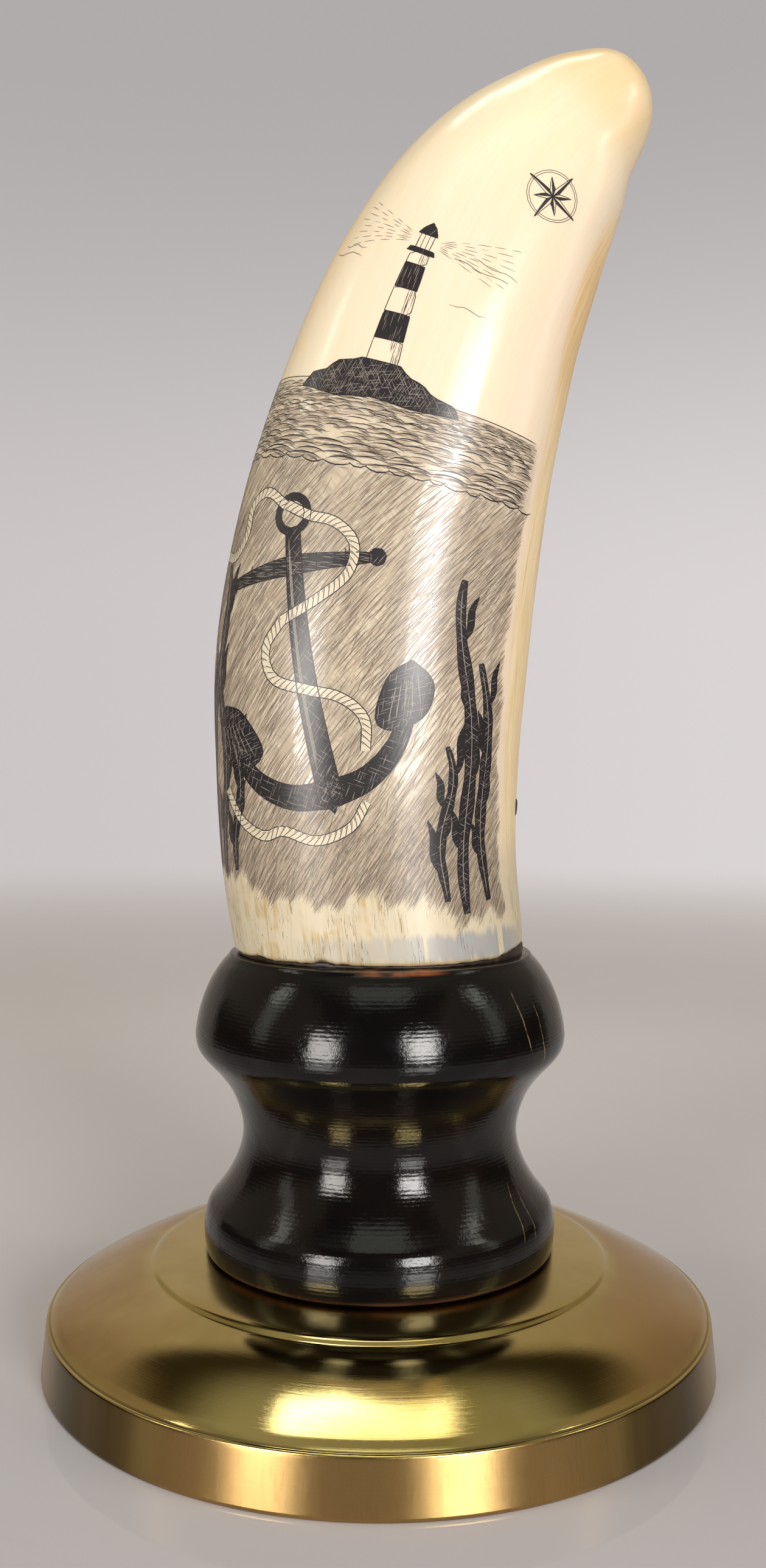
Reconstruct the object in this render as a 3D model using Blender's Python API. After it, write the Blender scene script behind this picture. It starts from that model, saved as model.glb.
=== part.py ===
"""A whale tooth with a polished, engraved face, standing root down on a turned stand and a brass foot.

Three solids, each closed and in its own object: brass_base, wood_stand and ivory_tooth.
The frame: +Z up, the origin at the centre of the foot's underside, the engraved face towards -Y,
the tip leaning towards +X. Sizes below are in millimetres and are turned into metres once, in metres().
"""

import math

import bmesh
import bpy
import numpy as np
from mathutils import Vector

MILLIMETRE = 0.001

# Gap left between two pieces that rest on each other
SEATING_GAP = 0.3

# Brass foot: the rim's wall leans in a little, and a narrow, nearly level lip runs round its top
BASE_RADIUS = 54.0
RIM_HEIGHT = 8.25
RIM_DRAFT = 0.75
EDGE_ROUND = 0.35
LIP_WIDTH = 0.6
LIP_TILT = 0.1
ROLL_RISE = 1.1
ROLL_WIDTH = 1.45
SHOULDER_RISE = 6.75
SHOULDER_WIDTH = 14.75
COVE_WIDTH = 0.55
COVE_RISE = 0.1
STEP_RISE = 0.83
STEP_WIDTH = 1.5
PLATEAU_FALL = 0.67

# Turned stand, from its foot up: collar, ogee, neck, lower and upper half of the bulb
FOOT_RADIUS = 27.5
FOOT_EASE = 0.7
COLLAR_HEIGHT = 8.15
COLLAR_SWELL = 1.3
COLLAR_FALL = 1.5
NECK_RADIUS = 22.28
OGEE_RISE = 11.13
CAVETTO_RISE = 7.48
CAVETTO_REACH = 2.35
BULB_LOWER_RISE = 8.28
BULB_UPPER_RISE = 12.86
BULB_PROUD = 6.05
SEAT_MARGIN = 0.5
SEAT_LIP = 0.65
SEAT_ROUND = 0.43

# Tooth: its height from the cut root to the top of the tip, and its thickness as a share of its width
TOOTH_HEIGHT = 145.8
ROOT_DEPTH_SHARE = 0.92
MIDDLE_DEPTH_SHARE = 0.79
TIP_DEPTH_SHARE = 0.86
SECTION_POWER = 2.15

# The tooth's outline as shares of its height: rise of the centre line, its lean to +X, half width there
TOOTH_STATIONS = (
    (0.000, -0.0009, 0.1608),
    (0.103, -0.0131, 0.1636),
    (0.205, -0.0154, 0.1679),
    (0.308, -0.0121, 0.1727),
    (0.444, 0.0060, 0.1693),
    (0.581, 0.0376, 0.1588),
    (0.717, 0.0831, 0.1445),
    (0.814, 0.1341, 0.1270),
    (0.875, 0.1804, 0.1053),
    (0.907, 0.2091, 0.0866),
    (0.939, 0.2452, 0.0652),
    (0.961, 0.2718, 0.0416),
    (0.971, 0.2851, 0.0),
)

# Facets
BASE_SIDES = 72
STAND_SIDES = 64
TOOTH_SIDES = 44
TOOTH_RINGS = 30
SHARP_ANGLE = math.radians(32)

ROOT_HALF_WIDTH = TOOTH_HEIGHT * TOOTH_STATIONS[0][2]
SEAT_RADIUS = ROOT_HALF_WIDTH + SEAT_MARGIN


def metres(points):
    """Points in millimetres as Vectors in metres."""
    return [Vector(p) * MILLIMETRE for p in points]


def clear_scene():
    """Removes whatever objects the file holds."""
    for item in list(bpy.data.objects):
        bpy.data.objects.remove(item, do_unlink=True)


def finish_material(name, colour, roughness, metallic, coat=0.0):
    """A plain Principled material."""
    material = bpy.data.materials.new(name)
    material.use_nodes = True
    shader = material.node_tree.nodes["Principled BSDF"]
    shader.inputs["Base Color"].default_value = (*colour, 1.0)
    shader.inputs["Roughness"].default_value = roughness
    shader.inputs["Metallic"].default_value = metallic
    shader.inputs["Coat Weight"].default_value = coat
    return material


def bezier(p0, p1, p2, p3, steps):
    """Points of a cubic curve in the (radius, height) plane, without its first one."""
    found = []
    for i in range(1, steps + 1):
        t = i / steps
        s = 1 - t
        weights = (s**3, 3 * s * s * t, 3 * s * t * t, t**3)
        found.append(tuple(sum(w * p[k] for w, p in zip(weights, (p0, p1, p2, p3))) for k in (0, 1)))
    return found


def quarter_ellipse(centre, across, up, first, last, steps):
    """Points of an ellipse arc between two angles in degrees, without its first one."""
    found = []
    for i in range(1, steps + 1):
        angle = math.radians(first + (last - first) * i / steps)
        found.append((centre[0] + across * math.cos(angle), centre[1] + up * math.sin(angle)))
    return found


def base_heights():
    """Named heights of the brass foot above its underside."""
    shoulder = RIM_HEIGHT + SHOULDER_RISE
    cove = shoulder + COVE_RISE
    plateau = cove + STEP_RISE
    return shoulder, cove, plateau, plateau + PLATEAU_FALL


def base_profile():
    """Half section of the brass foot, from the middle of its underside round to the middle of its top."""
    shoulder, cove, plateau, top = base_heights()
    rim_top = BASE_RADIUS - RIM_DRAFT
    lip_inside = rim_top - LIP_WIDTH
    shoulder_inside = lip_inside - SHOULDER_WIDTH
    step_outside = shoulder_inside - COVE_WIDTH
    step_inside = step_outside - STEP_WIDTH
    profile = [(0.0, 0.0), (BASE_RADIUS - EDGE_ROUND, 0.0), (BASE_RADIUS, EDGE_ROUND)]
    profile += [(rim_top, RIM_HEIGHT - EDGE_ROUND), (rim_top - EDGE_ROUND, RIM_HEIGHT)]
    start = (lip_inside, RIM_HEIGHT + LIP_TILT)
    rolled = (lip_inside - ROLL_WIDTH, start[1] + ROLL_RISE)
    slope = (rolled[0] - shoulder_inside, shoulder - rolled[1])
    profile += [start]
    profile += bezier(
        start,
        (start[0] - 0.25 * ROLL_WIDTH, start[1] + 0.34 * ROLL_RISE),
        (rolled[0] + 0.35 * ROLL_WIDTH, rolled[1] - 0.25 * ROLL_RISE),
        rolled,
        2,
    )
    profile += bezier(
        rolled,
        (rolled[0] - 0.45 * slope[0], rolled[1] + 0.59 * slope[1]),
        (shoulder_inside + 0.27 * slope[0], shoulder - 0.10 * slope[1]),
        (shoulder_inside, shoulder),
        6,
    )
    profile += [(step_outside, cove)]
    profile += quarter_ellipse((step_inside, cove), STEP_WIDTH, STEP_RISE, 20, 90, 3)
    profile += [(FOOT_RADIUS + SEAT_MARGIN, top), (0.0, top)]
    return profile


def stand_heights():
    """Named heights of the turned stand above the frame's origin."""
    foot = base_heights()[-1] + SEATING_GAP
    collar = foot + COLLAR_HEIGHT
    neck = collar + OGEE_RISE
    crease = neck + CAVETTO_RISE
    equator = crease + BULB_LOWER_RISE
    return foot, collar, neck, crease, equator, equator + BULB_UPPER_RISE


def stand_profile():
    """Half section of the turned stand, from the middle of its foot round to the middle of its seat."""
    foot, collar, neck, crease, equator, seat = stand_heights()
    eased = (FOOT_RADIUS + FOOT_EASE, foot + FOOT_EASE)
    collar_radius = FOOT_RADIUS + COLLAR_SWELL
    ogee_radius = collar_radius - COLLAR_FALL
    ogee_reach = ogee_radius - NECK_RADIUS
    crease_radius = NECK_RADIUS + CAVETTO_REACH
    bulb_radius = SEAT_RADIUS + BULB_PROUD
    bulb_reach = bulb_radius - crease_radius
    seat_edge = SEAT_RADIUS + SEAT_LIP
    profile = [(0.0, foot), (FOOT_RADIUS, foot)]
    profile += quarter_ellipse((FOOT_RADIUS, eased[1]), FOOT_EASE, FOOT_EASE, -90, 0, 2)
    profile += bezier(
        eased,
        (collar_radius, foot + 0.40 * COLLAR_HEIGHT),
        (collar_radius - 0.14 * COLLAR_FALL, foot + 0.82 * COLLAR_HEIGHT),
        (ogee_radius, collar),
        5,
    )
    profile += bezier(
        profile[-1],
        (ogee_radius - 0.745 * ogee_reach, collar + 0.385 * OGEE_RISE),
        (NECK_RADIUS, collar + 0.743 * OGEE_RISE),
        (NECK_RADIUS, neck),
        6,
    )
    profile += bezier(
        profile[-1],
        (NECK_RADIUS, neck + 0.338 * CAVETTO_RISE),
        (NECK_RADIUS + 0.565 * CAVETTO_REACH, neck + 0.797 * CAVETTO_RISE),
        (crease_radius, crease),
        4,
    )
    profile += bezier(
        profile[-1],
        (crease_radius + 0.565 * bulb_reach, crease + 0.543 * BULB_LOWER_RISE),
        (bulb_radius, crease + 0.567 * BULB_LOWER_RISE),
        (bulb_radius, equator),
        5,
    )
    profile += bezier(
        profile[-1],
        (bulb_radius, equator + 0.038 * BULB_UPPER_RISE),
        (seat_edge + 0.884 * (bulb_radius - seat_edge), equator + 0.606 * BULB_UPPER_RISE),
        (seat_edge, seat - SEAT_ROUND),
        6,
    )
    profile += quarter_ellipse((seat_edge - SEAT_ROUND, seat - SEAT_ROUND), SEAT_ROUND, SEAT_ROUND, 0, 90, 2)
    profile += [(0.0, seat)]
    return profile


def turned_solid(name, profile, sides, material):
    """A closed solid of revolution about Z, from a half section that starts and ends on the axis."""
    shape = bmesh.new()
    corners = [shape.verts.new(p) for p in metres([(r, 0.0, z) for r, z in profile])]
    edges = [shape.edges.new(pair) for pair in zip(corners, corners[1:])]
    bmesh.ops.spin(
        shape,
        geom=corners + edges,
        cent=(0, 0, 0),
        axis=(0, 0, 1),
        angle=2 * math.pi,
        steps=sides,
        use_merge=True,
        use_duplicate=False,
    )
    return finished_object(name, shape, material)


def finished_object(name, shape, material):
    """Welds, orients and links a bmesh as a named object."""
    bmesh.ops.remove_doubles(shape, verts=shape.verts, dist=1e-6)
    bmesh.ops.recalc_face_normals(shape, faces=shape.faces)
    mesh = bpy.data.meshes.new(name)
    shape.to_mesh(mesh)
    shape.free()
    mesh.materials.append(material)
    mesh.shade_smooth()
    mesh.set_sharp_from_angle(angle=SHARP_ANGLE)
    made = bpy.data.objects.new(name, mesh)
    bpy.context.scene.collection.objects.link(made)
    return made


def smooth_through(knots, values, at):
    """Values of a smooth curve through (knots, values), with Catmull-Rom slopes."""
    knots = np.asarray(knots, float)
    values = np.asarray(values, float)
    slopes = np.gradient(values, knots)
    i = np.clip(np.searchsorted(knots, at, side="right") - 1, 0, len(knots) - 2)
    span = knots[i + 1] - knots[i]
    t = (at - knots[i]) / span
    rise = 2 * t**3 - 3 * t**2 + 1
    return (
        rise * values[i]
        + (t**3 - 2 * t**2 + t) * span * slopes[i]
        + (1 - rise) * values[i + 1]
        + (t**3 - t**2) * span * slopes[i + 1]
    )


def tooth_sections():
    """Centre, tangent and half sizes of each section along the tooth, in millimetres, root first."""
    stations = np.array(TOOTH_STATIONS) * TOOTH_HEIGHT
    rise, lean, half = stations.T
    along = np.concatenate([[0.0], np.cumsum(np.hypot(np.diff(rise), np.diff(lean)))])
    # Sections crowd towards the tip, where the outline turns fastest
    spread = np.sin(0.5 * math.pi * np.linspace(0, 1, TOOTH_RINGS + 1))
    even = np.linspace(0, 1, TOOTH_RINGS + 1)
    at = along[-1] * (0.55 * spread + 0.45 * even)
    root = stand_heights()[-1] + SEATING_GAP
    centre = np.stack([smooth_through(along, lean, at), root + smooth_through(along, rise, at)], 1)
    # The square of the half width falls evenly to the tip, which rounds it off
    width = np.sqrt(np.clip(smooth_through(along, half**2, at), 0, None))
    share = smooth_through(
        (0.0, 0.5 * along[-1], along[-1]),
        (ROOT_DEPTH_SHARE, MIDDLE_DEPTH_SHARE, TIP_DEPTH_SHARE),
        at,
    )
    tangent = np.gradient(centre, at, axis=0)
    tangent /= np.linalg.norm(tangent, axis=1)[:, None]
    # The root is cut level, so the lowest sections turn into their slant over the first few
    level = np.clip(at / (0.12 * along[-1]), 0, 1)[:, None]
    tangent = (1 - level) * np.array([0.0, 1.0]) + level * tangent
    tangent /= np.linalg.norm(tangent, axis=1)[:, None]
    return centre, tangent, width, width * share


def section_ring(centre, tangent, half_width, half_depth, sides):
    """Corners of one oval section, square to the centre line."""
    ring = []
    for k in range(sides):
        angle = 2 * math.pi * k / sides
        c = math.cos(angle)
        s = math.sin(angle)
        across = half_width * math.copysign(abs(c) ** (2 / SECTION_POWER), c)
        depth = half_depth * math.copysign(abs(s) ** (2 / SECTION_POWER), s)
        ring.append((centre[0] + across * tangent[1], depth, centre[1] - across * tangent[0]))
    return ring


def tooth_solid(name, material):
    """The tooth, lofted through its oval sections, flat at the root and closed by a point at the tip."""
    centre, tangent, width, depth = tooth_sections()
    shape = bmesh.new()
    loops = []
    for c, t, w, d in zip(centre[:-1], tangent, width, depth):
        ring = [shape.verts.new(p) for p in metres(section_ring(c, t, w, d, TOOTH_SIDES))]
        loops.append(ring)
    for low, high in zip(loops, loops[1:]):
        for k in range(TOOTH_SIDES):
            n = (k + 1) % TOOTH_SIDES
            shape.faces.new((low[k], low[n], high[n], high[k]))
    shape.faces.new(list(reversed(loops[0])))
    tip = shape.verts.new(metres([(centre[-1][0], 0.0, centre[-1][1])])[0])
    for k in range(TOOTH_SIDES):
        shape.faces.new((loops[-1][k], loops[-1][(k + 1) % TOOTH_SIDES], tip))
    return finished_object(name, shape, material)


def main():
    """Builds the three pieces in their places."""
    clear_scene()
    brass = finish_material("aged_brass", (0.56, 0.41, 0.16), 0.22, 1.0)
    black = finish_material("black_lacquered_wood", (0.012, 0.010, 0.010), 0.28, 0.0, coat=0.5)
    ivory = finish_material("polished_ivory", (0.86, 0.76, 0.58), 0.22, 0.0, coat=0.3)
    turned_solid("brass_base", base_profile(), BASE_SIDES, brass)
    turned_solid("wood_stand", stand_profile(), STAND_SIDES, black)
    tooth_solid("ivory_tooth", ivory)


main()
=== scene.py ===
"""Looks for an engraved whale tooth on a turned black stand with a brass foot.

Lengths are in millimetres in the tables and functions below, and become metres in new_mesh().
A place on the tooth is given as (around, along): millimetres round the tooth from the middle of its
front, positive to the right, and millimetres up its curved centre line from the cut root.
"""

import math

import bpy
import numpy as np
from mathutils import Matrix, Vector


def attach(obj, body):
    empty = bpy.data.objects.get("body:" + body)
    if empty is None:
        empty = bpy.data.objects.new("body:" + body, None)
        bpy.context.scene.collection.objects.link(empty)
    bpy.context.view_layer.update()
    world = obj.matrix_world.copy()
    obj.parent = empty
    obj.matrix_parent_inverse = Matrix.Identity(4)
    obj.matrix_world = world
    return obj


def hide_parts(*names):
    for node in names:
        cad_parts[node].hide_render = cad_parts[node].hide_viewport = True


MM = 0.001
FULL_TURN = 2 * math.pi
QUARTER_TURN = 0.5 * math.pi

# The tooth as in the CAD: rise of the centre line, lean and half width, as shares of its height
TOOTH_HEIGHT = 145.8
TOOTH_STATIONS = (
    (0.000, -0.0009, 0.1608),
    (0.103, -0.0131, 0.1636),
    (0.205, -0.0154, 0.1679),
    (0.308, -0.0121, 0.1727),
    (0.444, 0.0060, 0.1693),
    (0.581, 0.0376, 0.1588),
    (0.717, 0.0831, 0.1445),
    (0.814, 0.1341, 0.1270),
    (0.875, 0.1804, 0.1053),
    (0.907, 0.2091, 0.0866),
    (0.939, 0.2452, 0.0652),
    (0.961, 0.2718, 0.0416),
    (0.971, 0.2851, 0.0),
)
DEPTH_SHARES = (0.92, 0.79, 0.86)
MEAN_DEPTH_SHARE = 0.81
SECTION_POWER = 2.15
LEVEL_SHARE = 0.12
SEAT_HEIGHT = 64.8
SEATING_GAP = 0.3
ROOT_HEIGHT = SEAT_HEIGHT + SEATING_GAP

# How far each layer of ink stands above the ivory, so that a later one covers an earlier one
WASH_LIFT = 0.010
MID_LIFT = 0.015
FINE_LIFT = 0.020
PLATE_LIFT = 0.026
SCRATCH_LIFT = 0.032
ROPE_LIFT = 0.035
LINE_LIFT = 0.038
SLIVER_DEPTH = 0.05
STROKE_STEP = 1.25
SHORTEST_STROKE = 0.05
FILL_SPACING = 0.17
FILL_WIDTH = 0.20

# The picture's borders on the tooth
GROUND_LEFT = -37.0
GROUND_RIGHT = 22.5
SEA_LEFT = -36.0
SEA_RIGHT = 21.0
SEA_TOP = 85.5
SEA_FOOT = 73.5
DARK_BELOW = 27.0

# The photograph's camera: its place, and in radians how far it looks down and leans
CAMERA_AT = (0.31, -225.0, 96.4)
CAMERA_DOWN = 0.02
CAMERA_LEAN = 0.004
CAMERA_LENS = 31.64

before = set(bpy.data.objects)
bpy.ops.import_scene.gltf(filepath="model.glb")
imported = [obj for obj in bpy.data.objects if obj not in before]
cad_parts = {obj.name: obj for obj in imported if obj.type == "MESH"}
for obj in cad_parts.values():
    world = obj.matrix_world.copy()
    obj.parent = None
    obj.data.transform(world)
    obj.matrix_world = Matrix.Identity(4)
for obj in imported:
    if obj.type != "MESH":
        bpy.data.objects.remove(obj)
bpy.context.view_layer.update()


# Lines and curves


def smooth_through(knots, values, at):
    """Values of a smooth curve through (knots, values), with Catmull-Rom slopes."""
    knots = np.asarray(knots, float)
    values = np.asarray(values, float)
    slopes = np.gradient(values, knots)
    i = np.clip(np.searchsorted(knots, at, side="right") - 1, 0, len(knots) - 2)
    span = knots[i + 1] - knots[i]
    t = (at - knots[i]) / span
    rise = 2 * t**3 - 3 * t**2 + 1
    return (
        rise * values[i]
        + (t**3 - 2 * t**2 + t) * span * slopes[i]
        + (1 - rise) * values[i + 1]
        + (t**3 - t**2) * span * slopes[i + 1]
    )


def through(points, steps):
    """A smooth open line through the points, with that many steps to each span."""
    points = np.array(points, float)
    knots = np.arange(len(points))
    at = np.linspace(0, len(points) - 1, steps * (len(points) - 1) + 1)
    return np.stack([smooth_through(knots, column, at) for column in points.T], 1)


def bezier(p0, p1, p2, p3, steps):
    """Points of a cubic curve, without its first one."""
    t = np.linspace(0, 1, steps + 1)[1:, None]
    s = 1 - t
    p0, p1, p2, p3 = (np.array(p, float) for p in (p0, p1, p2, p3))
    return (s**3 * p0 + 3 * s * s * t * p1 + 3 * s * t * t * p2 + t**3 * p3).tolist()


def circle(radius, count, centre=(0.0, 0.0)):
    """Points spaced evenly round a circle, each once."""
    turn = FULL_TURN * np.arange(count) / count
    return np.stack([centre[0] + radius * np.cos(turn), centre[1] + radius * np.sin(turn)], 1)


def closed(outline):
    """An outline with its first point again at the end."""
    outline = np.asarray(outline, float)
    return np.concatenate([outline, outline[:1]])


def distances(line):
    """The distance along a line at each of its points."""
    return np.concatenate([[0.0], np.cumsum(np.hypot(*np.diff(line, axis=0).T))])


def directions(angle):
    """Unit vectors along and across an angle in degrees."""
    turn = math.radians(angle)
    return np.array([[math.cos(turn), math.sin(turn)], [-math.sin(turn), math.cos(turn)]])


def sideways(way):
    """A direction turned a quarter to the left."""
    return np.array([-way[1], way[0]])


def shifted(path, offset):
    """A path moved to its left, by one distance or by one for each point."""
    path = np.asarray(path, float)
    way = np.gradient(path, axis=0)
    way /= np.maximum(np.hypot(way[:, 0], way[:, 1]), 1e-9)[:, None]
    offset = np.broadcast_to(offset, (len(path),))[:, None]
    return path + np.stack([-way[:, 1], way[:, 0]], 1) * offset


def ribbon(path, widths):
    """The outline of a band along a path."""
    half = 0.5 * np.asarray(widths, float)
    return np.concatenate([shifted(path, half), shifted(path, -half)[::-1]])


def value_noise(points, cell, rng):
    """Smooth random values in 0..1 over a plane, one lattice value to each cell."""
    points = points / cell
    low = np.floor(points.min(0)).astype(int)
    span = np.ceil(points.max(0)).astype(int) - low + 2
    grid = rng.random(tuple(span))
    where = points - low
    i = np.clip(where.astype(int), 0, span - 2)
    f = where - i
    f = f * f * (3 - 2 * f)
    total = 0.0
    for over, up in ((0, 0), (1, 0), (0, 1), (1, 1)):
        weight = np.abs(1 - over - f[:, 0]) * np.abs(1 - up - f[:, 1])
        total = total + weight * grid[i[:, 0] + over, i[:, 1] + up]
    return total


# Shape of the tooth


class Tooth:
    """The tooth's surface as a function of (around, along), in millimetres."""

    def __init__(self):
        rise, lean, half = np.array(TOOTH_STATIONS).T * TOOTH_HEIGHT
        knots = distances(np.stack([rise, lean], 1))
        self.length = knots[-1]
        self.at = np.linspace(0, self.length, 600)
        x = smooth_through(knots, lean, self.at)
        z = ROOT_HEIGHT + smooth_through(knots, rise, self.at)
        width = np.sqrt(np.clip(smooth_through(knots, half**2, self.at), 0, None))
        share = smooth_through((0.0, 0.5 * self.length, self.length), DEPTH_SHARES, self.at)
        way = np.gradient(np.stack([x, z], 1), self.at, axis=0)
        way /= np.linalg.norm(way, axis=1)[:, None]
        # Sections are level at the cut root and square to the centre line higher up
        bent = np.clip(self.at / (LEVEL_SHARE * self.length), 0, 1)[:, None]
        way = (1 - bent) * np.array([0.0, 1.0]) + bent * way
        way /= np.linalg.norm(way, axis=1)[:, None]
        self.table = np.stack([x, z, way[:, 0], way[:, 1], width, width * share], 1)
        angle = np.linspace(-QUARTER_TURN, QUARTER_TURN, 2001)
        across, deep = self.oval(angle)
        self.turn = angle + QUARTER_TURN
        self.arc = distances(np.stack([across, MEAN_DEPTH_SHARE * deep], 1))

    @staticmethod
    def oval(angle):
        """Unit section of the tooth."""
        c = np.cos(angle)
        s = np.sin(angle)
        power = 2 / SECTION_POWER
        return np.sign(c) * np.abs(c) ** power, np.sign(s) * np.abs(s) ** power

    def half_girth(self, along):
        """Millimetres from the middle of the front round to the middle of the back."""
        return np.interp(along, self.at, self.table[:, 4]) * self.arc[-1]

    def point(self, around, along):
        """Points on the surface."""
        around, along = np.broadcast_arrays(np.asarray(around, float), np.asarray(along, float))
        rows = [np.interp(along, self.at, column) for column in self.table.T]
        x, z, way_x, way_z, width, depth = rows
        reach = np.clip(np.abs(around) / np.maximum(width, 1e-6), 0, self.arc[-1])
        angle = np.sign(around) * np.interp(reach, self.arc, self.turn) - QUARTER_TURN
        across, deep = self.oval(angle)
        across = across * width
        return np.stack([x + across * way_z, deep * depth, z - across * way_x], -1)

    def normal(self, around, along):
        """Unit normals, outward."""
        step = 0.06
        over = self.point(around + step, along) - self.point(around - step, along)
        up = self.point(around, along + step) - self.point(around, along - step)
        out = np.cross(over, up)
        return out / np.maximum(np.linalg.norm(out, axis=-1), 1e-12)[..., None]


TOOTH = Tooth()


# Meshes


def new_mesh(name, points, faces, material, smooth=True, sharp=None):
    """A mesh object from points in millimetres, with edges past an angle in degrees kept sharp."""
    mesh = bpy.data.meshes.new(name)
    mesh.from_pydata((np.asarray(points) * MM).tolist(), [], faces)
    mesh.materials.append(material)
    if smooth:
        mesh.shade_smooth()
    if sharp:
        mesh.set_sharp_from_angle(angle=math.radians(sharp))
    made = bpy.data.objects.new(name, mesh)
    bpy.context.scene.collection.objects.link(made)
    return made


def band(low, high, sides):
    """Quads between two rings of points, by the index of each ring's first point."""
    pairs = [(k, (k + 1) % sides) for k in range(sides)]
    return [(low + k, low + n, high + n, high + k) for k, n in pairs]


def wall(rings, sides):
    """Quads between rings that follow one another."""
    faces = []
    for j in range(rings - 1):
        faces += band(j * sides, (j + 1) * sides, sides)
    return faces


def fan(ring, centre, sides, downward=False):
    """Triangles from a ring of points to one point past it."""
    faces = [(ring + k, ring + (k + 1) % sides, centre) for k in range(sides)]
    return [face[::-1] for face in faces] if downward else faces


def lathe(name, profile, sides, material, sharp):
    """A closed turned piece from a half section that starts and ends on the axis."""
    points = []
    for radius, height in profile[1:-1]:
        points += [(x, y, height) for x, y in circle(radius, sides)]
    rings = len(profile) - 2
    first = len(points)
    points += [(0, 0, profile[0][1]), (0, 0, profile[-1][1])]
    faces = wall(rings, sides)
    faces += fan(0, first, sides, downward=True)
    faces += fan((rings - 1) * sides, first + 1, sides)
    return new_mesh(name, points, faces, material, sharp=sharp)


# Node helpers


class Graph:
    """Short names for building a node tree."""

    def __init__(self, tree):
        self.tree = tree

    def node(self, kind, **settings):
        """A node with its settings."""
        made = self.tree.nodes.new("ShaderNode" + kind)
        for key, value in settings.items():
            setattr(made, key, value)
        return made

    def link(self, source, target):
        """Joins two sockets, or sets a plain value or colour."""
        if isinstance(source, bpy.types.NodeSocket):
            self.tree.links.new(source, target)
        elif target.type == "RGBA":
            target.default_value = (*source, 1)
        else:
            target.default_value = source

    def axes(self, vector):
        """A vector's three parts."""
        split = self.node("SeparateXYZ")
        self.link(vector, split.inputs[0])
        return split.outputs

    def math(self, how, first, *others):
        """A Math node's output, or a chain's for more than two values."""
        for other in others or (0.0,):
            made = self.node("Math", operation=how)
            self.link(first, made.inputs[0])
            self.link(other, made.inputs[1])
            first = made.outputs[0]
        return first

    def times(self, *values):
        """A product."""
        return self.math("MULTIPLY", *values)

    def plus(self, *values):
        """A sum."""
        return self.math("ADD", *values)

    def reach(self, x, y):
        """The distance from the axis."""
        return self.math("SQRT", self.plus(self.times(x, x), self.times(y, y)))

    def mix(self, share, a, b):
        """Two colours mixed."""
        made = self.node("Mix", data_type="RGBA")
        self.link(share, made.inputs[0])
        self.link(a, made.inputs[6])
        self.link(b, made.inputs[7])
        return made.outputs[2]

    def coats(self, colour, *coats):
        """A colour with others laid over it in turn, each as (share, colour)."""
        for share, over in coats:
            colour = self.mix(share, colour, over)
        return colour

    def ramp(self, source, low, high, bottom=0.0, top=1.0):
        """A smooth step from bottom to top as the source goes from low to high."""
        made = self.node("MapRange", interpolation_type="SMOOTHSTEP")
        for key, value in enumerate((low, high, bottom, top), 1):
            made.inputs[key].default_value = value
        self.link(source, made.inputs[0])
        return made.outputs[0]

    def window(self, source, low, high, soft):
        """1 between low and high, 0 outside, with soft ends."""
        up = self.ramp(source, low - soft, low + soft)
        return self.times(up, self.ramp(source, high - soft, high + soft, 1.0, 0.0))

    def noise(self, vector, scale, detail=3.0, rough=0.55, turn=0.0):
        """A noise texture's value, at one scale or one for each axis after a turn about Z."""
        if isinstance(scale, tuple):
            spread = self.node("Mapping", vector_type="TEXTURE")
            spread.inputs["Rotation"].default_value = (0, 0, turn)
            spread.inputs["Scale"].default_value = tuple(1 / s for s in scale)
            self.link(vector, spread.inputs["Vector"])
            vector = spread.outputs[0]
            scale = 1.0
        made = self.node("TexNoise", noise_dimensions="3D")
        for key, value in (("Vector", vector), ("Scale", scale), ("Detail", detail), ("Roughness", rough)):
            self.link(value, made.inputs[key])
        return made.outputs[0]


class Material(Graph):
    """A new material's graph, which ends in its shader."""

    def __init__(self, name):
        self.material = bpy.data.materials.new(name)
        self.material.use_nodes = True
        super().__init__(self.material.node_tree)
        self.shader = self.tree.nodes["Principled BSDF"]

    def bump(self, height, distance, under=None):
        """A bump, with the distance in millimetres, over another one if it is given."""
        made = self.node("Bump")
        made.inputs["Strength"].default_value = 1.0
        made.inputs["Distance"].default_value = distance * MM
        self.link(height, made.inputs["Height"])
        if under is not None:
            self.link(under, made.inputs["Normal"])
        return made.outputs[0]

    def place(self):
        """The place in the object, in metres."""
        return self.node("TexCoord").outputs["Object"]

    def turned(self, place):
        """X and Y in metres, height in millimetres, and angle round the axis from the front."""
        x, y, z = self.axes(place)
        return x, y, self.times(z, 1 / MM), self.math("ARCTAN2", x, self.times(y, -1.0))

    def finished(self, **values):
        """The material, with values or links on its shader, whose names have underscores for spaces."""
        for key, value in values.items():
            self.link(value, self.shader.inputs[key.replace("_", " ")])
        return self.material


# Materials


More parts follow.
